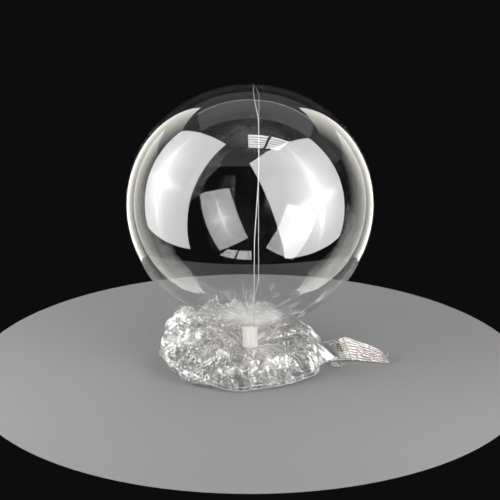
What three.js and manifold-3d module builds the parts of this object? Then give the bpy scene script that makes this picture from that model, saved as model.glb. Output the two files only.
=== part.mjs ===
// Clear bubble balloon: a two-panel film bag blown into a ball, pinched to a pleated neck, and
// standing on the slack rest of the bag. Millimetres, +Z up, +X towards the inflation tail,
// origin on the floor under the middle of the ball. The sealed bag is solid.

import * as THREE from 'three';
import { mergeVertices } from 'three/addons/utils/BufferGeometryUtils.js';
import Module from 'manifold-3d';

const wasm = await Module();
wasm.setup();

// The ball, a little flatter than a true sphere.
const BALL_RADIUS = 225;
const BALL_HALF_HEIGHT = 220.5;
const BALL_CENTRE_Z = 300;
const SHOULDER_FILL = 4;
const WELD_RISE = 1.4;

// The gathers that run from the neck up the underside of the ball.
const AROUND = 72;
const PLEATS = 24;
const PLEAT_REACH = THREE.MathUtils.degToRad(37);
const PLEAT_DEPTH = 9;
const PLEAT_FULL_DEPTH_FROM = THREE.MathUtils.degToRad(15);
const NECK_POLAR = THREE.MathUtils.degToRad(176.4);

// The pinched neck, a tight bundle of the same film.
const NECK_RADIUS = 13.5;
const NECK_WAIST = 1.5;
const NECK_PLEAT = 1.6;
const NECK_BOTTOM_Z = 27;

// The slack part of the bag, a puffed ring that the ball stands on.
const SKIRT_RADIUS = 147;
const SKIRT_CENTRE_X = -16;
const SKIRT_CREST_MEAN = 54;
const SKIRT_CREST_BACK = 13;
const SKIRT_CREST_LEFT = 12;
const SCALLOP_DEPTH = 7;
const SCALLOPS = 7;
const FOLD_HEIGHT = 8;
const FOLDS = 13;
const RIM_Z = 9;
const FOOT_INSET = 9;

// The tail of the bag and the valve strip welded into its mouth, standing on edge.
const UPPER_EDGE = new THREE.CatmullRomCurve3([
  new THREE.Vector3(66, 14, 42),
  new THREE.Vector3(100, 16, 46),
  new THREE.Vector3(128, 4, 41),
  new THREE.Vector3(155, -10, 43),
  new THREE.Vector3(176, -8, 49),
  new THREE.Vector3(203, -9, 41),
  new THREE.Vector3(226, -12, 33),
  new THREE.Vector3(244, -14, 24),
  new THREE.Vector3(257, -17, 10),
]);
const LOWER_EDGE = new THREE.CatmullRomCurve3([
  new THREE.Vector3(66, -84, 10),
  new THREE.Vector3(108, -68, 6),
  new THREE.Vector3(142, -24, 4),
  new THREE.Vector3(170, -12, 4),
  new THREE.Vector3(194, -10, 4),
  new THREE.Vector3(212, -13, 3),
  new THREE.Vector3(232, -17, 2.5),
  new THREE.Vector3(247, -19, 2),
  new THREE.Vector3(263, -20, 1.5),
]);
const TUBE_END = 3 / 8;
const WELD_GAP = 0.003;
const VALVE_END = 4 / 8;
const TUBE_HALF_THICKNESS_IN = 24;
const TUBE_HALF_THICKNESS_OUT = 4.5;
const VALVE_THICKNESS = 5;
const FAN_THICKNESS = 2.2;
const FAN_PLEATS = 5;
const FAN_PLEAT_DEPTH = 2.4;

// The loose corner of film that lies on the floor under the tail.
const FLAP_CORNERS = [[138, -16], [167, -46], [182, -21], [152, -12]];
const FLAP_THICKNESS = 2;
const FLAP_Z = 3;

const FILM = new THREE.MeshStandardMaterial({ color: 0xe8ebee, roughness: 0.08, metalness: 0 });
const VALVE = new THREE.MeshStandardMaterial({ color: 0xe6dfdb, roughness: 0.3, metalness: 0 });

const smooth = (x) => THREE.MathUtils.smoothstep(x, 0, 1);
const wave = (count, turn, phase) => Math.sin(count * turn + phase);

// A number between 0 and 1 that is always the same for the same count.
function chance(count) {
  const value = Math.sin(count * 12.9898 + 4.1414) * 43758.5453;
  return value - Math.floor(value);
}

// 1 on the fold line of a pleat and -1 between two pleats.
function zigzag(turn, count) {
  const place = (turn * count) / (2 * Math.PI);
  return 1 - 4 * Math.abs(place - Math.round(place));
}

// How far up the ball each pleat runs, from 0 at its tip to 1 at the neck.
function gather(polar, turn) {
  const pleat = Math.round((turn * PLEATS) / (2 * Math.PI)) % PLEATS;
  const reach = PLEAT_REACH * (0.72 + 0.28 * chance(pleat));
  return smooth(1 - (Math.PI - polar) / reach);
}

function ballPoint(polar, turn) {
  const gathered = gather(polar, turn);
  const opened = Math.min(1, (Math.PI - polar) / PLEAT_FULL_DEPTH_FROM);
  const pleat = PLEAT_DEPTH * gathered * opened * (zigzag(turn, PLEATS) - 1) / 2;
  const nearWeld = Math.max(0, 1 - Math.abs(Math.abs(turn - Math.PI) - Math.PI / 2) / 0.01);
  const fill = SHOULDER_FILL * Math.sin(polar) * Math.cos(polar);
  const swell = 1 + (fill + WELD_RISE * nearWeld * Math.sin(polar) + pleat) / BALL_RADIUS;
  const radius = BALL_RADIUS * Math.sin(polar) * swell;
  const z = BALL_CENTRE_Z + BALL_HALF_HEIGHT * Math.cos(polar) * swell;
  return new THREE.Vector3(radius * Math.cos(turn), radius * Math.sin(turn), z);
}

function neckPoint(down, turn) {
  const top = ballPoint(NECK_POLAR, 0).z;
  const waist = NECK_WAIST * Math.sin(Math.PI * down);
  const radius = NECK_RADIUS - waist + NECK_PLEAT * zigzag(turn, PLEATS);
  const z = THREE.MathUtils.lerp(top, NECK_BOTTOM_Z, 0.12 + 0.88 * down);
  return new THREE.Vector3(radius * Math.cos(turn), radius * Math.sin(turn), z);
}

// The plan outline of the slack ring, scalloped where the weld puckers it.
function skirtRadius(turn) {
  const scallop = SCALLOP_DEPTH * (Math.abs(wave(SCALLOPS / 2, turn, 0.7)) - 0.5);
  return SKIRT_RADIUS + scallop + 3 * wave(3, turn, 2.1) + 2 * wave(11, turn, 0.4);
}

function skirtCrest(turn) {
  const back = SKIRT_CREST_BACK * Math.sin(turn);
  const left = -SKIRT_CREST_LEFT * Math.cos(turn);
  return SKIRT_CREST_MEAN + back + left;
}

// The top of the ring, from the neck at 0, over its crest, to the rim at 1.
function skirtPoint(out, turn) {
  const inner = NECK_RADIUS + 4;
  const radius = THREE.MathUtils.lerp(inner, skirtRadius(turn), Math.sin((Math.PI / 2) * out ** 0.8));
  const shift = SKIRT_CENTRE_X * smooth(out);
  const valley = THREE.MathUtils.lerp(NECK_BOTTOM_Z, RIM_Z, smooth(out * 1.6 - 0.6));
  const hump = Math.sin(Math.PI * out ** 0.85) ** 0.75;
  const swirl = turn + 0.5 * out;
  const folds = wave(FOLDS, swirl, 0.3) + 0.6 * wave(FOLDS - 5, turn - out, 1.9) + 0.5 * zigzag(swirl, 18);
  const z = valley + (skirtCrest(turn) - valley) * hump + FOLD_HEIGHT * hump * folds * 0.5;
  return new THREE.Vector3(shift + radius * Math.cos(turn), radius * Math.sin(turn), z);
}

// The flat underside, from the rim in to the middle.
function footPoint(inward, turn) {
  const radius = (skirtRadius(turn) - FOOT_INSET) * (1 - inward);
  return new THREE.Vector3(SKIRT_CENTRE_X * (1 - inward) + radius * Math.cos(turn), radius * Math.sin(turn), 0);
}

// A row of points right round the bag for each step of one zone.
function zone(point, from, to, steps) {
  return Array.from({ length: steps }, (_, step) => {
    const along = THREE.MathUtils.lerp(from, to, step / (steps - 1));
    return (turn) => point(along, turn);
  });
}

// A closed surface through rows of points, from the first row's pole to the last row's.
function bagGeometry(rows) {
  const profile = rows.map((row, index) => new THREE.Vector2(1, index));
  const geometry = new THREE.LatheGeometry(profile, AROUND);
  const places = geometry.getAttribute('position');
  for (let index = 0; index < places.count; index += 1) {
    const turn = ((Math.floor(index / rows.length) % AROUND) * 2 * Math.PI) / AROUND;
    const place = rows[index % rows.length](turn);
    places.setXYZ(index, place.x, place.y, place.z);
  }
  return geometry;
}

// A strip between the two edges of the tail: across runs from the lower edge to the upper one,
// and aside is the distance from its middle plane.
function tailPlace(along, across, aside) {
  const place = LOWER_EDGE.getPoint(along).lerp(UPPER_EDGE.getPoint(along), across);
  place.y += aside;
  return place;
}

// The round tube of the tail, from deep in the ring to the first weld.
function tubeGeometry() {
  const geometry = new THREE.CylinderGeometry(1, 1, 1, 20, 14);
  const places = geometry.getAttribute('position');
  for (let index = 0; index < places.count; index += 1) {
    const along = (places.getY(index) + 0.5) * TUBE_END;
    const narrowing = smooth((along / TUBE_END) ** 0.8);
    const half = THREE.MathUtils.lerp(TUBE_HALF_THICKNESS_IN, TUBE_HALF_THICKNESS_OUT, narrowing);
    const place = tailPlace(along, 0.5 + places.getZ(index) / 2, -half * places.getX(index));
    places.setXYZ(index, place.x, place.y, place.z);
  }
  return geometry;
}

// The valve strip: a flat pocket between two welds, then a fan of pleats that narrows to a point.
function valveGeometry() {
  const geometry = new THREE.BoxGeometry(1, 1, 1, 16, FAN_PLEATS * 4, 1);
  const places = geometry.getAttribute('position');
  for (let index = 0; index < places.count; index += 1) {
    const along = THREE.MathUtils.lerp(TUBE_END + WELD_GAP, 1, places.getX(index) + 0.5);
    const fan = smooth((along - VALVE_END + 0.03) / 0.06);
    const across = places.getY(index) + 0.5;
    const thickness = THREE.MathUtils.lerp(VALVE_THICKNESS, FAN_THICKNESS, fan);
    const pleat = FAN_PLEAT_DEPTH * fan * zigzag(across * 2 * Math.PI, FAN_PLEATS);
    const place = tailPlace(along, across, pleat * (1.2 - along) - thickness * places.getZ(index));
    places.setXYZ(index, place.x, place.y, place.z);
  }
  return geometry;
}

function flapGeometry() {
  const outline = new THREE.Shape(FLAP_CORNERS.map(([x, y]) => new THREE.Vector2(x, y)));
  const geometry = new THREE.ExtrudeGeometry(outline, { depth: FLAP_THICKNESS, bevelEnabled: false });
  return geometry.translate(0, 0, FLAP_Z);
}

// One closed body from a geometry, without the empty triangles at its poles.
function solid(geometry) {
  geometry.deleteAttribute('normal');
  geometry.deleteAttribute('uv');
  const merged = mergeVertices(geometry, 1e-4);
  const corners = merged.getIndex().array;
  const kept = [];
  for (let first = 0; first < corners.length; first += 3) {
    const [a, b, c] = corners.slice(first, first + 3);
    if (a !== b && b !== c && c !== a) {
      kept.push(a, b, c);
    }
  }
  const vertProperties = Float32Array.from(merged.getAttribute('position').array);
  const mesh = new wasm.Mesh({ numProp: 3, vertProperties, triVerts: Uint32Array.from(kept) });
  return new wasm.Manifold(mesh);
}

function meshOf(body, name, material) {
  const { vertProperties, triVerts } = body.getMesh();
  const geometry = new THREE.BufferGeometry();
  geometry.setAttribute('position', new THREE.BufferAttribute(vertProperties, 3));
  geometry.setIndex(new THREE.BufferAttribute(triVerts, 1));
  geometry.computeVertexNormals();
  const mesh = new THREE.Mesh(geometry, material);
  mesh.name = name;
  return mesh;
}

// Rows from the foot's middle up over the ring, up the neck and over the ball to its top.
function bagRows() {
  return [
    ...zone(footPoint, 1, 0, 3),
    ...zone(skirtPoint, 1, 0.04, 13),
    ...zone(neckPoint, 1, 0, 4),
    ...zone(ballPoint, NECK_POLAR, Math.PI - PLEAT_REACH, 10),
    ...zone(ballPoint, Math.PI - PLEAT_REACH - 0.09, 0, 24),
  ];
}

const bag = solid(bagGeometry(bagRows())).add(solid(tubeGeometry())).add(solid(flapGeometry()));
const balloon = new THREE.Group();
balloon.add(meshOf(bag, 'bubble_film', FILM));
balloon.add(meshOf(solid(valveGeometry()), 'valve_strip', VALVE));

export default balloon;
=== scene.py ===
import math
import random

import bmesh
import bpy
from mathutils import Matrix, Vector, noise


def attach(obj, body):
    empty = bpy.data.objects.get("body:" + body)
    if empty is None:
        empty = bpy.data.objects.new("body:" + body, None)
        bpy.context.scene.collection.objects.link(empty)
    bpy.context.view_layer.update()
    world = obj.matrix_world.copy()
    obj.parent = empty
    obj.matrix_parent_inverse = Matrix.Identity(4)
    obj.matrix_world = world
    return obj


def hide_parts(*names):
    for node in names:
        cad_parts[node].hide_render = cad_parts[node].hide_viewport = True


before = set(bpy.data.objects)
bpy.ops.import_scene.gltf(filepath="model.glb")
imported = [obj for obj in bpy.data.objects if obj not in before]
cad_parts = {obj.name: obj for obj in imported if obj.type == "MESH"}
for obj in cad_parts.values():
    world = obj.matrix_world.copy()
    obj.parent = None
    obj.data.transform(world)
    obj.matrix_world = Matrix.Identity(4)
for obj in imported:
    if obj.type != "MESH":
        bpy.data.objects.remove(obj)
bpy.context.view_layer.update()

MM = 0.001

# ---------------------------------------------------------------------------------------------
# The bag. Two panels of clear film welded round their edge and blown into a ball, which is pinched
# to a pleated neck. The slack rest of the same film lies under it as a crumpled ring of folds,
# and where the film is pinched or creased hard it turns milky. On the crumpled ring the white crease
# lines and the white that differs facet by facet are also painted highlights and painted facet light.
# ---------------------------------------------------------------------------------------------
AROUND = 96
FINER = 3

BALL_RADIUS = 225 * MM
BALL_HALF_HEIGHT = 220.5 * MM
BALL_CENTRE_Z = 300 * MM
SHOULDER_FILL = 4 * MM

PLEAT_REACH = math.radians(37)
PLEAT_DEPTH = 5 * MM
NECK_POLAR = math.radians(176.4)
NECK_RADIUS = 13.5 * MM
NECK_WAIST = 1.5 * MM
NECK_PLEAT = 1.8 * MM
NECK_PLEATS = 22
NECK_BOTTOM_Z = 27 * MM

SKIRT_RADIUS = 147 * MM
SKIRT_CENTRE_X = -16 * MM
SKIRT_CREST_MEAN = 54 * MM
SKIRT_CREST_BACK = 13 * MM
SKIRT_CREST_LEFT = 12 * MM
SCALLOP_DEPTH = 7 * MM
FOLD_HEIGHT = 8 * MM
RIM_Z = 9 * MM
FOOT_INSET = 9 * MM


def smooth(x):
    x = min(1, max(0, x))
    return x * x * (3 - 2 * x)


def between(a, b, x):
    return a + (b - a) * x


def zigzag(x):
    """1 at whole numbers and -1 halfway between them."""
    return 1 - 4 * abs(x - round(x))


def chance(count):
    value = math.sin(count * 12.9898 + 4.1414) * 43758.5453
    return value - math.floor(value)


def gather(polar, turn):
    """How deep the pleats are that run up the ball from the neck, 0 above their tips."""
    up = math.pi - polar
    depth = 0
    for pleats, share in ((26, 1), (43, 0.7), (71, 0.5)):
        place = turn * pleats / math.tau + 0.5 * noise.noise(Vector((turn * 3, up * 6, pleats)))
        reach = PLEAT_REACH * (0.5 + 0.5 * chance(round(place) % pleats + pleats))
        depth += share * smooth(1 - up / reach) * (zigzag(place) - 1) / 2
    return PLEAT_DEPTH * depth * min(1, up / 0.26)


def ball_point(polar, turn):
    fill = SHOULDER_FILL * math.sin(polar) * math.cos(polar)
    swell = 1 + (fill + gather(polar, turn)) / BALL_RADIUS
    radius = BALL_RADIUS * math.sin(polar) * swell
    z = BALL_CENTRE_Z + BALL_HALF_HEIGHT * math.cos(polar) * swell
    return Vector((radius * math.cos(turn), radius * math.sin(turn), z))


def neck_point(down, turn):
    top = ball_point(NECK_POLAR, 0).z
    pleat = NECK_PLEAT * zigzag(turn * NECK_PLEATS / math.tau)
    radius = NECK_RADIUS - NECK_WAIST * math.sin(math.pi * down) + pleat
    z = between(top, NECK_BOTTOM_Z, 0.12 + 0.88 * down)
    return Vector((radius * math.cos(turn), radius * math.sin(turn), z))


def skirt_radius(turn):
    scallop = SCALLOP_DEPTH * (abs(math.sin(3.5 * turn + 0.7)) - 0.5)
    return SKIRT_RADIUS + scallop + 3 * MM * math.sin(3 * turn + 2.1) + 2 * MM * math.sin(11 * turn + 0.4)


def skirt_point(out, turn):
    crest = SKIRT_CREST_MEAN + SKIRT_CREST_BACK * math.sin(turn) - SKIRT_CREST_LEFT * math.cos(turn)
    radius = between(NECK_RADIUS + 4 * MM, skirt_radius(turn), math.sin(math.pi / 2 * out ** 0.8))
    valley = between(NECK_BOTTOM_Z, RIM_Z, smooth(out * 1.6 - 0.6))
    hump = math.sin(math.pi * out ** 0.85) ** 0.75
    swirl = turn + 0.5 * out
    folds = math.sin(13 * swirl + 0.3) + 0.6 * math.sin(8 * (turn - out) + 1.9)
    z = valley + (crest - valley) * hump + FOLD_HEIGHT * hump * folds * 0.5
    return Vector((SKIRT_CENTRE_X * smooth(out) + radius * math.cos(turn), radius * math.sin(turn), z))


def foot_point(inward, turn):
    radius = (skirt_radius(turn) - FOOT_INSET) * (1 - inward)
    return Vector((SKIRT_CENTRE_X * (1 - inward) + radius * math.cos(turn), radius * math.sin(turn), 0))


BAG_ZONES = (
    (foot_point, 1, 0, 7),
    (skirt_point, 1, 0.02, 36),
    (neck_point, 1, 0, 4),
    (ball_point, NECK_POLAR, math.pi - PLEAT_REACH, 14),
    (ball_point, math.pi - PLEAT_REACH, 0, 34),
)
BAG_ROWS = sum(rows for *_, rows in BAG_ZONES)
FOOT_ROWS, SKIRT_ROWS, NECK_ROWS, PLEAT_ROWS = (rows for *_, rows in BAG_ZONES[:4])
FINE_ROWS = FOOT_ROWS + SKIRT_ROWS + NECK_ROWS + PLEAT_ROWS


def bag_point(row, turn):
    for point, start, end, rows in BAG_ZONES:
        if row <= rows + 1e-6:
            return point(between(start, end, row / rows), turn)
        row -= rows


random.seed(11)
CREASES = []
for length, slope in ((95, 0.34), (70, 0.40), (52, 0.42), (38, 0.40), (27, 0.34), (19, 0.28)):
    way = Vector((random.gauss(0, 1), random.gauss(0, 1), random.gauss(0, 0.5))).normalized()
    CREASES.append((way, length * MM, slope * length * MM / 4, random.random()))


CALM, CALM_FROM, CALM_REACH = 0.35, 70 * MM, 40 * MM


def crumple(place):
    """How far the film is folded out of its smooth shape: flat facets between straight creases."""
    turn = math.atan2(place.y, place.x - SKIRT_CENTRE_X)
    away = math.hypot(place.x, place.y) / SKIRT_RADIUS
    bend = noise.noise(place * 14) * 0.9
    crushed = smooth(0.75 + 1.2 * noise.noise(place * 11 + Vector((3, 1, 7))))
    height = 0
    for way, length, depth, start in CREASES:
        share = 1 if length > 30 * MM else crushed
        height += share * depth * zigzag(place.dot(way) / length + start + bend)
    height *= between(1, CALM, smooth((place.x - CALM_FROM) / CALM_REACH))
    gathers = 2.4 * MM * (1 - smooth(away / 0.8)) * zigzag(turn * 37 / math.tau + 2 * bend)
    puckers = 2.6 * MM * smooth((away - 0.6) / 0.4) * zigzag(turn * 53 / math.tau + 1.5 * bend)
    return height + gathers + puckers


def crumple_share(row):
    if row < FOOT_ROWS:
        return 0.25 * smooth(row / FOOT_ROWS)
    if row < FOOT_ROWS + SKIRT_ROWS:
        out = 1 - (row - FOOT_ROWS) / SKIRT_ROWS
        return 0.25 + 0.75 * smooth(out / 0.25) * (1 - 0.6 * smooth((out - 0.85) / 0.15))
    return 0


def wire(tree, kind, inputs=(), output=0, **settings):
    """Adds a shader node, sets it, fills its inputs with numbers or sockets and gives its output."""
    node = tree.nodes.new(kind)
    for name, value in settings.items():
        setattr(node, name, value)
    for place, value in dict(inputs).items():
        if isinstance(value, bpy.types.NodeSocket):
            tree.links.new(value, node.inputs[place])
        else:
            node.inputs[place].default_value = value
    return node.outputs[output]


def worked(tree, operation, *values):
    return wire(tree, "ShaderNodeMath", enumerate(values), operation=operation)


def ramp(tree, value, low, high, start=0.0, end=1.0):
    """start below low, end above high and a straight slope between them."""
    steps = {"Value": value, "From Min": low, "From Max": high, "To Min": start, "To Max": end}
    return wire(tree, "ShaderNodeMapRange", steps)


def film_shader(tree, tint, milk, roughness, bump=None):
    """Thin film: what is behind it isn't bent, so all its shine is in its coat."""
    values = {
        "Base Color": (*tint, 1), "Roughness": roughness, "IOR": 1.0, "Transmission Weight": 1 - milk,
        "Coat Weight": 1, "Coat IOR": 2.1, "Coat Roughness": 0.02,
    }
    if bump:
        values.update({"Normal": bump, "Coat Normal": bump})
    return wire(tree, "ShaderNodeBsdfPrincipled", values)


def film_material(name, tint, milk, roughness, pattern=None, shade=0.97):
    """A film, which whitens where pattern gives a share for it. Lamps pass it but for a little shade."""
    material = bpy.data.materials.new(name)
    material.use_nodes = True
    tree = material.node_tree
    tree.nodes.clear()
    share, bump = pattern(tree) if pattern else (None, None)
    film = film_shader(tree, tint, milk, roughness, bump)
    if pattern:
        white = film_shader(tree, (0.93, 0.91, 0.88), 1, 0.4, bump)
        film = wire(tree, "ShaderNodeMixShader", {"Fac": share, 1: film, 2: white})
    lamp_light = wire(tree, "ShaderNodeBsdfTransparent", {"Color": (shade, shade, shade, 1)})
    shadow = wire(tree, "ShaderNodeLightPath", output="Is Shadow Ray")
    shown = wire(tree, "ShaderNodeMixShader", {"Fac": shadow, 1: film, 2: lamp_light})
    tree.links.new(shown, tree.nodes.new("ShaderNodeOutputMaterial").inputs["Surface"])
    return material


def bent_place(tree, scale, amount):
    """Object coordinates, bent by noise so that lines worked out from them aren't quite straight."""
    place = wire(tree, "ShaderNodeTexCoord", output="Object")
    drift = wire(tree, "ShaderNodeTexNoise", {"Vector": place, "Scale": scale, "Detail": 2}, output="Color")
    drift = wire(tree, "ShaderNodeVectorMath", {0: drift, 1: (0.5, 0.5, 0.5)}, operation="SUBTRACT")
    drift = wire(tree, "ShaderNodeVectorMath", {0: drift, "Scale": amount}, operation="SCALE")
    return wire(tree, "ShaderNodeVectorMath", {0: place, 1: drift}, operation="ADD")


def crease_net_milk_and_highlight(tree, place, scale, width):
    """1 on the edges of a net of flat cells and 0 away from them: crease lines that are whitened as milky film and as
    painted highlights.
    """
    values = {"Vector": place, "Scale": scale}
    edge = wire(tree, "ShaderNodeTexVoronoi", values, feature="DISTANCE_TO_EDGE")
    return ramp(tree, edge, 0, width, 1, 0)


def straight_crease_milk_and_highlights(tree, place, way, spacing, width):
    """1 on long straight lines across way, broken up by noise: creases that are whitened as milky film and as painted
    highlights.
    """
    along = wire(tree, "ShaderNodeVectorMath", {0: place, 1: way}, output="Value", operation="DOT_PRODUCT")
    line = worked(tree, "PINGPONG", worked(tree, "DIVIDE", along, spacing), 0.5)
    line = ramp(tree, line, 0, width / spacing, 1, 0)
    patch = wire(tree, "ShaderNodeTexNoise", {"Vector": place, "Scale": 0.35 / spacing, "Detail": 1})
    return worked(tree, "MULTIPLY", line, ramp(tree, patch, 0.5, 0.56))


def facets(tree, place, scale):
    """A random colour for each flat facet of the film, facets being about 1/scale metres across."""
    stretched = wire(tree, "ShaderNodeVectorMath", {0: place, 1: (1, 0.55, 1.5)}, operation="MULTIPLY")
    return wire(tree, "ShaderNodeTexVoronoi", {"Vector": stretched, "Scale": scale}, output="Color")


def crumpled(tree):
    """Where crumpled film is white and how its facets tilt. The white is milky film and painted light together: its
    crease lines are painted highlights, and the white that differs facet by facet is also painted light on facets
    turned to or from the lamps.
    """
    place = bent_place(tree, 25, 0.012)
    # white crease lines: painted highlights of the lamps in sharp bends, as well as milky film
    lines = worked(tree, "MULTIPLY", crease_net_milk_and_highlight(tree, place, 42, 0.03), 0.45)
    for way, spacing, width in (
        ((0.8, 0.5, 0.35), 0.019, 0.0010),
        ((0.35, -0.8, 0.5), 0.015, 0.0008),
        ((-0.45, 0.3, 0.85), 0.013, 0.0008),
        ((0.1, 0.95, -0.3), 0.023, 0.0011),
        ((0.9, -0.3, 0.2), 0.017, 0.0008),
    ):
        lines = worked(tree, "MAXIMUM", lines, straight_crease_milk_and_highlights(tree, place, way, spacing, width))
    tilt, white = (0, 0, 0), 0.0
    # each facet whiter or less white at random: milky haze that also stands in as painted light on facets turned to
    # or from the lamps
    for scale, lean, whiteness in ((38, 0.42, 0.5), (85, 0.34, 0.3), (190, 0.22, 0.2)):
        colour = facets(tree, place, scale)
        way = wire(tree, "ShaderNodeVectorMath", {0: colour, 1: (0.5, 0.5, 0.5)}, operation="SUBTRACT")
        way = wire(tree, "ShaderNodeVectorMath", {0: way, "Scale": lean}, operation="SCALE")
        tilt = wire(tree, "ShaderNodeVectorMath", {0: way, 1: tilt}, operation="ADD")
        white = worked(tree, "MULTIPLY_ADD", worked(tree, "POWER", colour, 2), whiteness, white)
    patchy = wire(tree, "ShaderNodeTexNoise", {"Vector": place, "Scale": 18, "Detail": 3})
    # haze here is milky film and painted facet light together
    haze = worked(tree, "MULTIPLY", white, ramp(tree, patchy, 0.42, 0.62, 0.1, 1.6))
    split = tree.nodes.new("ShaderNodeSeparateXYZ")
    tree.links.new(place, split.inputs["Vector"])
    calm = ramp(tree, split.outputs["X"], CALM_FROM, CALM_FROM + CALM_REACH, 1, CALM)
    haze = worked(tree, "MULTIPLY", haze, calm)
    tilt = wire(tree, "ShaderNodeVectorMath", {0: tilt, "Scale": calm}, operation="SCALE")
    share = worked(tree, "MAXIMUM", haze, worked(tree, "MULTIPLY", lines, 0.8))
    turn = worked(tree, "ARCTAN2", split.outputs["Y"], split.outputs["X"])
    spokes = wire(tree, "ShaderNodeCombineXYZ", {"X": turn, "Y": worked(tree, "MULTIPLY", split.outputs["Z"], 2)})
    gathers = wire(tree, "ShaderNodeTexNoise", {"Vector": spokes, "Scale": 9, "Detail": 4, "Roughness": 0.7})
    flat = wire(tree, "ShaderNodeVectorMath", {0: place, 1: (1, 1, 0)}, operation="MULTIPLY")
    away = wire(tree, "ShaderNodeVectorMath", {0: flat}, output="Value", operation="LENGTH")
    near_neck = ramp(tree, away, 0.03, 0.095, 1, 0)
    gathers = worked(tree, "MULTIPLY", ramp(tree, gathers, 0.47, 0.6, 0, 0.9), near_neck)
    share = worked(tree, "MAXIMUM", share, gathers)
    normal = wire(tree, "ShaderNodeNewGeometry", output="Normal")
    normal = wire(tree, "ShaderNodeVectorMath", {0: normal, 1: tilt}, operation="ADD")
    normal = wire(tree, "ShaderNodeVectorMath", {0: normal}, operation="NORMALIZE")
    return share, normal


def pleated(tree):
    """Where pleated film is white: streaks that run up from the neck and end at uneven tips."""
    place = bent_place(tree, 18, 0.006)
    split = tree.nodes.new("ShaderNodeSeparateXYZ")
    tree.links.new(place, split.inputs["Vector"])
    turn = worked(tree, "ARCTAN2", split.outputs["Y"], split.outputs["X"])
    round_neck = wire(tree, "ShaderNodeCombineXYZ", {"X": turn, "Y": worked(tree, "MULTIPLY", split.outputs["Z"], 4)})
    streaks = wire(tree, "ShaderNodeTexNoise", {"Vector": round_neck, "Scale": 14, "Detail": 5, "Roughness": 0.75})
    tips = wire(tree, "ShaderNodeTexNoise", {"Vector": round_neck, "Scale": 5, "Detail": 2})
    top = worked(tree, "MULTIPLY_ADD", tips, 0.05, 0.084)
    up = worked(tree, "DIVIDE", split.outputs["Z"], top)
    low = ramp(tree, up, 0.75, 1.05, 1, 0)
    neck = ramp(tree, split.outputs["Z"], 0.082, 0.095, 0.95, 0)
    streaky = worked(tree, "MULTIPLY", ramp(tree, streaks, 0.5, 0.59, 0.0, 0.85), low)
    share = worked(tree, "MAXIMUM", streaky, neck)
    bump = wire(tree, "ShaderNodeBump", {"Strength": 0.7, "Distance": 0.003, "Height": worked(tree, "MULTIPLY", streaks, low)})
    return share, bump


clear_film = film_material("clear film", (0.97, 0.98, 0.99), 0, 0.0)
# creased film: milky film whose white crease lines and facets are also painted highlights and painted facet light
creased_film = film_material("creased film", (0.86, 0.86, 0.86), 0, 0.05, crumpled, shade=0.65)
pleated_film = film_material("pleated film", (0.86, 0.86, 0.86), 0, 0.05, pleated, shade=0.9)


def piece_from(shape, name, node, slot, *materials):
    """Ends a bmesh as a named piece that rides with the balloon and stands for a CAD node."""
    mesh = bpy.data.meshes.new(name)
    shape.to_mesh(mesh)
    shape.free()
    for material in materials:
        mesh.materials.append(material)
    made = bpy.data.objects.new(name, mesh)
    bpy.context.scene.collection.objects.link(made)
    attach(made, "root")
    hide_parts(node)
    return made


bag = bmesh.new()
bmesh.ops.create_grid(bag, x_segments=AROUND, y_segments=BAG_ROWS, size=1)
for vertex in bag.verts:
    vertex.co = Vector(((vertex.co.x + 1) * math.pi, (vertex.co.y + 1) / 2 * BAG_ROWS, 0))
fine = [e for e in bag.edges if max(v.co.y for v in e.verts) < FINE_ROWS + 0.01]
bmesh.ops.subdivide_edges(bag, edges=fine, cuts=FINER, use_grid_fill=True)
row_of = bag.verts.layers.float.new("row")
for vertex in bag.verts:
    vertex[row_of] = vertex.co.y
    vertex.co = bag_point(vertex.co.y, vertex.co.x)
bmesh.ops.remove_doubles(bag, verts=bag.verts, dist=0.01 * MM)
bmesh.ops.recalc_face_normals(bag, faces=bag.faces)
bag.normal_update()
for vertex in bag.verts:
    share = crumple_share(vertex[row_of])
    if share > 0:
        vertex.co += vertex.normal * (share * crumple(vertex.co))
    vertex.co.z = max(vertex.co.z, 0)
bag.normal_update()

CREASED, PLEATED = 1, 2
for face in bag.faces:
    row = sum(v[row_of] for v in face.verts) / len(face.verts)
    if row < FOOT_ROWS + SKIRT_ROWS:
        face.material_index = CREASED
    elif row < FINE_ROWS:
        face.material_index = PLEATED if row > FOOT_ROWS + SKIRT_ROWS + 0.2 else CREASED
    face.smooth = row < FOOT_ROWS or row > FOOT_ROWS + SKIRT_ROWS
piece_from(bag, "bag", "bubble_film", "clear_film", clear_film, creased_film, pleated_film)

# ---------------------------------------------------------------------------------------------
# The weld over the ball. The two panels are fused in a narrow band that runs over the top and
# down the front and the back, and it shows as a fine white ridge.
# ---------------------------------------------------------------------------------------------
WELD_HALF_WIDTH = 0.7 * MM
WELD_THICKNESS = 0.4 * MM


def weld_aside(up, front):
    """How far the weld wanders from the ball's middle: up is -1 at the bottom and 1 at the top."""
    aside = 7 + 7.5 * smooth((up + 0.1) / 0.7) if front else 17
    return between(aside, 6, smooth((abs(up) - 0.8) / 0.2)) * MM


def tube_of(path, steps, wide, high, closed=False, sides=8):
    """A bead with an oval section along a path of (place, sideways, outward) from 0 to 1."""
    bead = bmesh.new()
    bmesh.ops.create_grid(bead, x_segments=steps, y_segments=sides, size=1)
    for vertex in bead.verts:
        along, turn = (vertex.co.x + 1) / 2, (vertex.co.y + 1) * math.pi
        place, sideways, outward = path(along)
        taper = 1 if closed else math.sqrt(max(0, 1 - (2 * along - 1) ** 16))
        vertex.co = place + (sideways * wide * math.cos(turn) + outward * high * math.sin(turn)) * taper
    bmesh.ops.remove_doubles(bead, verts=bead.verts, dist=0.005 * MM)
    bmesh.ops.recalc_face_normals(bead, faces=bead.faces)
    for face in bead.faces:
        face.smooth = True
    return bead


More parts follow.
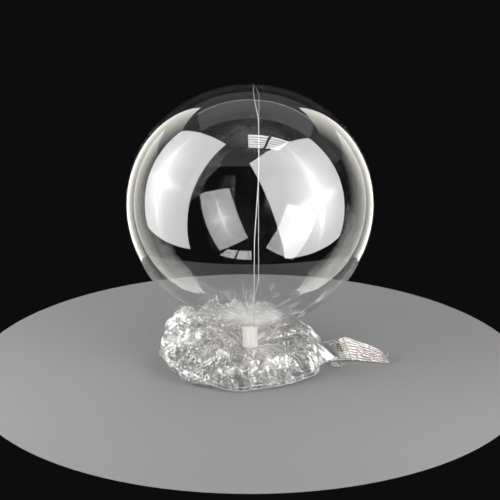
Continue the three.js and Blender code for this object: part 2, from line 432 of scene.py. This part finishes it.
def ball_weld_path(along):
    polar = between(math.radians(172), -math.radians(172), along)
    up = math.cos(polar)
    aside = weld_aside(up, polar > 0)
    ball = ball_point(abs(polar), math.pi / 2)
    depth = -math.copysign(math.sqrt(max(0, ball.y ** 2 - aside ** 2)), polar)
    place = Vector((aside, depth, ball.z))
    outward = (place - Vector((0, 0, BALL_CENTRE_Z))).normalized()
    return place + outward * WELD_THICKNESS * 0.4, Vector((1, 0, 0)), outward


ball_weld = tube_of(ball_weld_path, 220, WELD_HALF_WIDTH, WELD_THICKNESS)
weld_film = film_material("weld", (0.95, 0.95, 0.95), 0.5, 0.25)
piece_from(ball_weld, "ball_weld", "bubble_film", "clear_film", weld_film)

# ---------------------------------------------------------------------------------------------
# The weld round the slack ring. The same fused edge stands out from the ring as a narrow flange,
# puckered by the folds, with a bead along its inner and its outer edge.
# ---------------------------------------------------------------------------------------------
FLANGE_WIDTH = 6 * MM
FLANGE_DROP = 4 * MM
PUCKER = 1.1 * MM
BEAD_RADIUS = 0.75 * MM


def rim_edge(turn, outward):
    """A point of the flange: outward is 0 at the ring and 1 at the cut edge."""
    ripple = 1.6 * MM * noise.noise(Vector((math.cos(turn), math.sin(turn), 0.3)) * 9)
    droop = 1.2 * MM * noise.noise(Vector((math.cos(turn), math.sin(turn), 4.0)) * 14)
    ripple += outward * PUCKER * zigzag(turn * 61 / math.tau + 2 * droop / MM)
    radius = skirt_radius(turn) - 3 * MM + ripple + FLANGE_WIDTH * outward
    lift = 8 + 22 * smooth(-math.cos(turn) * 1.2 - 0.1) + 16 * smooth(math.sin(turn) * 1.5 - 0.2)
    z = lift * MM + droop - FLANGE_DROP * outward
    return Vector((SKIRT_CENTRE_X + radius * math.cos(turn), radius * math.sin(turn), max(z, 1 * MM)))


def rim_path(outward):
    def path(along):
        turn = along * math.tau
        way = Vector((math.cos(turn), math.sin(turn), 0))
        return rim_edge(turn, outward), way, Vector((0, 0, 1))
    return path


def joined(*shapes):
    """One bmesh that holds all these."""
    whole = bmesh.new()
    for index, shape in enumerate(shapes):
        part = bpy.data.meshes.new("part")
        shape.to_mesh(part)
        shape.free()
        whole.from_mesh(part)
        bpy.data.meshes.remove(part)
    return whole


flange = bmesh.new()
bmesh.ops.create_grid(flange, x_segments=384, y_segments=3, size=1)
for vertex in flange.verts:
    vertex.co = rim_edge((vertex.co.x + 1) * math.pi, (vertex.co.y + 1) / 2)
bmesh.ops.remove_doubles(flange, verts=flange.verts, dist=0.01 * MM)
bmesh.ops.recalc_face_normals(flange, faces=flange.faces)
bmesh.ops.solidify(flange, geom=flange.faces[:], thickness=0.3 * MM)
piece_from(flange, "rim_flange", "bubble_film", "clear_film", clear_film)
beads = joined(
    tube_of(rim_path(0), 384, BEAD_RADIUS, BEAD_RADIUS, closed=True, sides=6),
    tube_of(rim_path(1), 384, BEAD_RADIUS * 0.8, BEAD_RADIUS * 0.8, closed=True, sides=6),
)
for face in beads.faces:
    face.smooth = True
piece_from(beads, "rim_beads", "bubble_film", "clear_film", weld_film)

# ---------------------------------------------------------------------------------------------
# The tail. The bag narrows to a flat tube that stands on edge, and ends in the valve strip: a
# pocket of olive film between two weld bands, then a fan of milky pleats that narrows to a point.
# ---------------------------------------------------------------------------------------------
UPPER_EDGE = (
    (66, 14, 42), (100, 16, 46), (128, 4, 41), (155, -10, 43), (176, -8, 49),
    (203, -9, 41), (226, -12, 33), (244, -14, 24), (257, -17, 10),
)
LOWER_EDGE = (
    (66, -84, 10), (108, -68, 6), (142, -24, 4), (170, -12, 4), (194, -10, 4),
    (212, -13, 3), (232, -17, 2.5), (247, -19, 2), (263, -20, 1.5),
)
POCKET_FROM, POCKET_TO = 3 / 8, 4 / 8


def along_edge(stations, along):
    """A point on the smooth curve through the stations, from 0 at the first to 1 at the last."""
    place = along * (len(stations) - 1)
    first = min(int(place), len(stations) - 2)
    t = place - first
    before, start, end, after = (
        Vector(stations[min(max(first + step, 0), len(stations) - 1)]) for step in (-1, 0, 1, 2)
    )
    bent = 2 * start + (end - before) * t + (2 * before - 5 * start + 4 * end - after) * t ** 2
    bent += (3 * start - before - 3 * end + after) * t ** 3
    return bent / 2 * MM


def tail_place(along, across, aside):
    place = along_edge(LOWER_EDGE, along).lerp(along_edge(UPPER_EDGE, along), across)
    place.y += aside
    return place


def tube_half(along):
    return between(24, 4.5, smooth((along / POCKET_FROM) ** 0.8)) * MM


tail = bmesh.new()
bmesh.ops.create_grid(tail, x_segments=90, y_segments=72, size=1)
for vertex in tail.verts:
    along = (vertex.co.x + 1) / 2 * POCKET_FROM
    turn = (vertex.co.y + 1) * math.pi
    vertex.co = tail_place(along, 0.5 + math.sin(turn) / 2, -tube_half(along) * math.cos(turn))
bmesh.ops.remove_doubles(tail, verts=tail.verts, dist=0.01 * MM)
bmesh.ops.holes_fill(tail, edges=[e for e in tail.edges if e.is_boundary])
bmesh.ops.recalc_face_normals(tail, faces=tail.faces)
tail.normal_update()
for vertex in tail.verts:
    if all(len(f.verts) == 4 for f in vertex.link_faces):
        vertex.co += vertex.normal * 0.25 * crumple(vertex.co)
for face in tail.faces:
    face.smooth = len(face.verts) == 4
piece_from(tail, "tail_tube", "bubble_film", "clear_film", clear_film)


SHOULDER_WELDS = (0.125, 0.155)


def shoulder_weld_path(start):
    """A weld that runs down over the front of the tube on the slant."""
    def path(along):
        station = start + 0.10 * along
        across = 0.97 - 0.94 * along
        aside = -tube_half(station) * math.sqrt(max(0.02, 1 - (2 * across - 1) ** 2))
        return tail_place(station, across, aside), Vector((1, 0, 0)), Vector((0, -1, 0))
    return path


shoulder_welds = joined(*(
    tube_of(shoulder_weld_path(start), 60, 0.7 * MM, 0.5 * MM) for start in SHOULDER_WELDS
))
piece_from(shoulder_welds, "shoulder_welds", "bubble_film", "clear_film", weld_film)


def strip(start, end, steps, rows, thick, pleat, pleats, wave=0):
    """A closed strip of the tail, pleated along its length, which knows where each point lies in it."""
    made = bmesh.new()
    bmesh.ops.create_grid(made, x_segments=steps, y_segments=rows, size=1)
    along_of, across_of = (made.verts.layers.float.new(name) for name in ("along", "across"))
    for vertex in made.verts:
        along, across = between(start, end, (vertex.co.x + 1) / 2), (vertex.co.y + 1) / 2
        vertex[along_of], vertex[across_of] = (along - start) / (end - start), across
        fold = pleat * zigzag(across * pleats + 0.4 * noise.noise(Vector((along * 9, across * 3, 1))))
        fold += wave * noise.noise(Vector((along * 30, across * 8, 5)))
        vertex.co = tail_place(along, across, fold)
    bmesh.ops.recalc_face_normals(made, faces=made.faces)
    bmesh.ops.solidify(made, geom=made.faces[:], thickness=thick)
    return made


def attribute(tree, name):
    return wire(tree, "ShaderNodeAttribute", output="Fac", attribute_name=name)


def olive_ribs(tree):
    """Where the pocket is white: thin bars across its lower half, and a patchy haze above them."""
    place = bent_place(tree, 60, 0.004)
    across = attribute(tree, "across")
    bar = worked(tree, "PINGPONG", worked(tree, "MULTIPLY", across, 11), 0.5)
    bars = worked(tree, "MULTIPLY", ramp(tree, bar, 0.2, 0.34), ramp(tree, across, 0.38, 0.46, 0.85, 0))
    patchy = wire(tree, "ShaderNodeTexNoise", {"Vector": place, "Scale": 160, "Detail": 3})
    share = worked(tree, "MAXIMUM", bars, ramp(tree, patchy, 0.5, 0.7, 0.02, 0.5))
    bump = wire(tree, "ShaderNodeBump", {"Strength": 0.6, "Distance": 0.0015, "Height": bar})
    return share, bump


def fan_pleats(tree):
    """Where the fan is white: between the dark lines of its pleats, and most near the pocket."""
    place = bent_place(tree, 40, 0.01)
    fine = wire(tree, "ShaderNodeTexNoise", {"Vector": place, "Scale": 55, "Detail": 3})
    lanes = worked(tree, "MULTIPLY_ADD", attribute(tree, "across"), FAN_PLEATS, worked(tree, "MULTIPLY", fine, 0.5))
    lane = worked(tree, "PINGPONG", lanes, 0.5)
    whiter = ramp(tree, attribute(tree, "along"), 0.05, 0.5, 1, 0.35)
    share = worked(tree, "MULTIPLY", ramp(tree, lane, 0.1, 0.24, 0.0, 0.95), whiter)
    bump = wire(tree, "ShaderNodeBump", {"Strength": 0.8, "Distance": 0.002, "Height": lane})
    return share, bump


POCKET_HALF = 2.2 * MM
WELD_BAND = 0.012
FAN_PLEATS = 8
pocket = bmesh.new()
bmesh.ops.create_grid(pocket, x_segments=24, y_segments=64, size=1)
across_of = pocket.verts.layers.float.new("across")
for vertex in pocket.verts:
    along = between(POCKET_FROM + 0.004, POCKET_TO, (vertex.co.x + 1) / 2)
    turn = (vertex.co.y + 1) * math.pi
    puff = POCKET_HALF * (0.5 + math.sin(math.pi * (along - POCKET_FROM) / (POCKET_TO - POCKET_FROM)))
    ribs = 0.5 * MM * zigzag(math.sin(turn) * 5.5) * smooth(0.3 - math.sin(turn))
    vertex[across_of] = 0.5 + math.sin(turn) / 2
    vertex.co = tail_place(along, vertex[across_of], -(puff + ribs) * math.cos(turn))
bmesh.ops.remove_doubles(pocket, verts=pocket.verts, dist=0.01 * MM)
bmesh.ops.holes_fill(pocket, edges=[e for e in pocket.edges if e.is_boundary])
bmesh.ops.recalc_face_normals(pocket, faces=pocket.faces)
for face in pocket.faces:
    face.smooth = len(face.verts) == 4
valve_film = film_material("valve film", (0.30, 0.29, 0.22), 0.45, 0.2, olive_ribs, shade=0.7)
piece_from(pocket, "valve_pocket", "valve_strip", "valve_film", valve_film)

band_film = film_material("weld band", (0.93, 0.91, 0.86), 0.85, 0.35, shade=0.6)
bands = joined(
    strip(POCKET_FROM + 0.002, POCKET_FROM + 0.002 + WELD_BAND, 3, 40, 5.4 * MM, 0.2 * MM, 5),
    strip(POCKET_TO - WELD_BAND, POCKET_TO, 3, 40, 3.2 * MM, 0.2 * MM, 5),
)
piece_from(bands, "valve_welds", "valve_strip", "valve_film", band_film)
fan = strip(POCKET_TO, 1, 90, 132, 0.4 * MM, 0.8 * MM, FAN_PLEATS, wave=1 * MM)
milky_film = film_material("milky pleats", (0.55, 0.45, 0.44), 0.7, 0.3, fan_pleats, shade=0.5)
piece_from(fan, "mouth_fan", "valve_strip", "valve_film", milky_film)

# ---------------------------------------------------------------------------------------------
# The wisp. A torn shred of the same film that sticks out of the fan's upper edge near its tip.
# ---------------------------------------------------------------------------------------------
WISP_EDGE = ((246, -15, 22), (258, -15, 20), (266, -16, 17), (259, -16, 14), (248, -16, 13))
wisp = bmesh.new()
wisp.faces.new([wisp.verts.new(Vector(corner) * MM) for corner in WISP_EDGE])
bmesh.ops.triangulate(wisp, faces=wisp.faces[:])
bmesh.ops.subdivide_edges(wisp, edges=wisp.edges[:], cuts=5, use_grid_fill=True)
for vertex in wisp.verts:
    vertex.co.y += 1.5 * MM * noise.noise(vertex.co * 150)
bmesh.ops.recalc_face_normals(wisp, faces=wisp.faces)
bmesh.ops.solidify(wisp, geom=wisp.faces[:], thickness=0.3 * MM)
piece_from(wisp, "film_wisp", "valve_strip", "valve_film", creased_film)

# ---------------------------------------------------------------------------------------------
# The loose corner of film that lies on the floor under the tail.
# ---------------------------------------------------------------------------------------------
FLAP_CORNERS = ((138, -16), (167, -46), (182, -21), (152, -12))
flap = bmesh.new()
flap.faces.new([flap.verts.new((x * MM, y * MM, 3 * MM)) for x, y in FLAP_CORNERS])
bmesh.ops.triangulate(flap, faces=flap.faces[:])
bmesh.ops.subdivide_edges(flap, edges=flap.edges[:], cuts=9, use_grid_fill=True)
for vertex in flap.verts:
    vertex.co.z += 3 * MM * noise.noise(vertex.co * 70)
bmesh.ops.recalc_face_normals(flap, faces=flap.faces)
bmesh.ops.solidify(flap, geom=flap.faces[:], thickness=0.4 * MM)
piece_from(flap, "film_corner", "bubble_film", "clear_film", clear_film)

# ---------------------------------------------------------------------------------------------
# The studio: a pale round table top in a dark room, a soft lamp overhead for the table, and soft
# boxes that show only in the film's shine.
# ---------------------------------------------------------------------------------------------
TABLE_RADIUS = 0.52
table = bmesh.new()
bmesh.ops.create_circle(table, cap_ends=True, segments=128, radius=TABLE_RADIUS)
for vertex in table.verts:
    vertex.co.z = -0.4 * MM
table_mesh = bpy.data.meshes.new("table")
table.to_mesh(table_mesh)
table.free()
pale = bpy.data.materials.new("pale table")
pale.use_nodes = True
pale.node_tree.nodes["Principled BSDF"].inputs["Base Color"].default_value = (0.31, 0.31, 0.31, 1)
pale.node_tree.nodes["Principled BSDF"].inputs["Roughness"].default_value = 0.9
table_mesh.materials.append(pale)
table_top = bpy.data.objects.new("table", table_mesh)
bpy.context.scene.collection.objects.link(table_top)

world = bpy.data.worlds.new("dark room")
world.use_nodes = True
world.node_tree.nodes["Background"].inputs["Color"].default_value = (0.004, 0.004, 0.0045, 1)
bpy.context.scene.world = world

NEAR_WALL, FAR_WALL, BOTH_WALLS = "LESS_THAN", "GREATER_THAN", None


def soft_box(name, place, facing, roll, size, radiance, hot=0.0, fade=0.0, bars=0, tint=(1, 1, 1), wall=None):
    """A soft box that shows only as a shine on the film: on its near wall, its far wall or both.

    hot brightens its middle, fade dims it towards one side, and bars splits it into bright bars.
    """
    lamp = bpy.data.lights.new(name, "AREA")
    lamp.shape = "RECTANGLE"
    lamp.size, lamp.size_y = size
    lamp.energy = radiance * math.pi * lamp.size * lamp.size_y
    lamp.color = tint
    lamp.use_nodes = True
    tree = lamp.node_tree
    spot = tree.nodes.new("ShaderNodeSeparateXYZ")
    tree.links.new(wire(tree, "ShaderNodeNewGeometry", output="Parametric"), spot.inputs["Vector"])
    u = worked(tree, "SUBTRACT", spot.outputs["X"], 0.5)
    v = worked(tree, "SUBTRACT", spot.outputs["Y"], 0.5)
    far = worked(tree, "ADD", worked(tree, "MULTIPLY", u, u), worked(tree, "MULTIPLY", v, v))
    middle = worked(tree, "EXPONENT", worked(tree, "MULTIPLY", far, -14))
    rib = worked(tree, "MINIMUM", worked(tree, "MULTIPLY", u, u), worked(tree, "MULTIPLY", v, v))
    star = worked(tree, "MULTIPLY", worked(tree, "EXPONENT", worked(tree, "MULTIPLY", rib, -900)), middle)
    middle = worked(tree, "ADD", middle, star)
    strength = worked(tree, "MULTIPLY_ADD", middle, hot, 1.0)
    if fade:
        strength = worked(tree, "MULTIPLY", strength, ramp(tree, worked(tree, "MULTIPLY", u, fade), -0.4, 0.45))
    if bars:
        bar = worked(tree, "GREATER_THAN", worked(tree, "PINGPONG", worked(tree, "MULTIPLY", v, bars), 0.5), 0.14)
        gap = worked(tree, "GREATER_THAN", worked(tree, "ABSOLUTE", u), 0.035)
        strength = worked(tree, "MULTIPLY", strength, worked(tree, "MULTIPLY", bar, gap))
    ray = tree.nodes.new("ShaderNodeLightPath")
    strength = worked(tree, "MULTIPLY", strength, worked(tree, "GREATER_THAN", ray.outputs["Glossy Depth"], 0.5))
    if wall:
        shown = worked(tree, wall, ray.outputs["Transmission Depth"], 0.5)
        strength = worked(tree, "MULTIPLY", strength, shown)
    tree.links.new(strength, tree.nodes["Emission"].inputs["Strength"])
    box = bpy.data.objects.new(name, lamp)
    box.location = place
    turned = Vector(facing).to_track_quat("-Z", "Y").to_matrix() @ Matrix.Rotation(math.radians(roll), 3, "Z")
    box.rotation_euler = turned.to_euler()
    box.visible_camera = False
    box.visible_diffuse = False
    bpy.context.scene.collection.objects.link(box)


CREAM = (1, 0.98, 0.9)
soft_box("left box", (-0.86, -0.06, 0.58), (0.73, 0.58, -0.37), -3.0, (1.06, 1.48), 4.2, hot=0.7, wall=NEAR_WALL)
soft_box("right box", (0.44, -0.32, 0.43), (-0.59, 0.73, -0.35), 10, (0.73, 1.02), 4.2, hot=0.7, wall=NEAR_WALL)
soft_box("left box far", (-0.57, -0.27, 0.80), (0.63, 0.64, -0.45), -4.6, (0.55, 0.75), 3.4, hot=0.6, wall=FAR_WALL)
soft_box("right box far", (0.41, -0.57, 0.68), (-0.53, 0.70, -0.47), 4.5, (0.54, 0.94), 3.4, hot=0.6, wall=FAR_WALL)
soft_box("left rim panel", (-1.22, 1.07, 0.43), (0.75, -0.66, 0), 0, (1.12, 2.70), 3.1, fade=-1, tint=CREAM)
soft_box("right rim panel", (1.22, 1.07, 0.43), (-0.75, -0.66, 0), 0, (1.12, 2.70), 3.1, fade=1, tint=CREAM)
soft_box("strip lights", (0.25, -0.38, 1.42), (0.03, -0.60, -0.80), 177.3, (0.55, 0.41), 6, bars=6)
soft_box("hood", (0.13, 0.50, 1.50), (0, 0, -1), 0, (1.75, 0.70), 0.3, wall=NEAR_WALL)
soft_box("hood edge", (0.13, 0.86, 1.50), (0, 0, -1), 0, (1.75, 0.025), 3, tint=CREAM, wall=NEAR_WALL)

for name, place, energy in (
    ("overhead", (-0.3, -0.5, 1.9), 3),
    ("left fill", (-1.5, -0.7, 0.8), 34),
    ("right fill", (1.4, -1.1, 0.7), 30),
    ("back fill", (0.4, 1.7, 1.0), 14),
):
    fill = bpy.data.lights.new(name, "AREA")
    fill.size = 1.2
    fill.energy = energy
    fill_box = bpy.data.objects.new(name, fill)
    fill_box.location = place
    fill_box.rotation_euler = (Vector((0, 0, 0.1)) - Vector(place)).to_track_quat("-Z", "Y").to_euler()
    fill_box.visible_camera = False
    fill_box.visible_glossy = False
    fill_box.visible_transmission = False
    bpy.context.scene.collection.objects.link(fill_box)

CAMERA_ELEVATION = math.radians(15)
CAMERA_DISTANCE = 2.2
CAMERA_DIP = math.radians(2.05)
eye = bpy.data.objects.new("camera", bpy.data.cameras.new("camera"))
eye.data.lens = 87.05
eye.data.sensor_width = 36
away = Vector((0, -math.cos(CAMERA_ELEVATION), math.sin(CAMERA_ELEVATION))) * CAMERA_DISTANCE
eye.location = Vector((0, 0, BALL_CENTRE_Z)) + away
eye.rotation_euler = (math.pi / 2 - CAMERA_ELEVATION - CAMERA_DIP, 0, 0)
bpy.context.scene.collection.objects.link(eye)
bpy.context.scene.camera = eye

bpy.context.scene.view_settings.view_transform = "Standard"
cycles = bpy.context.scene.cycles
cycles.max_bounces = 32
cycles.transmission_bounces = 32
cycles.transparent_max_bounces = 32
cycles.glossy_bounces = 8
cycles.caustics_reflective = False
cycles.caustics_refractive = False
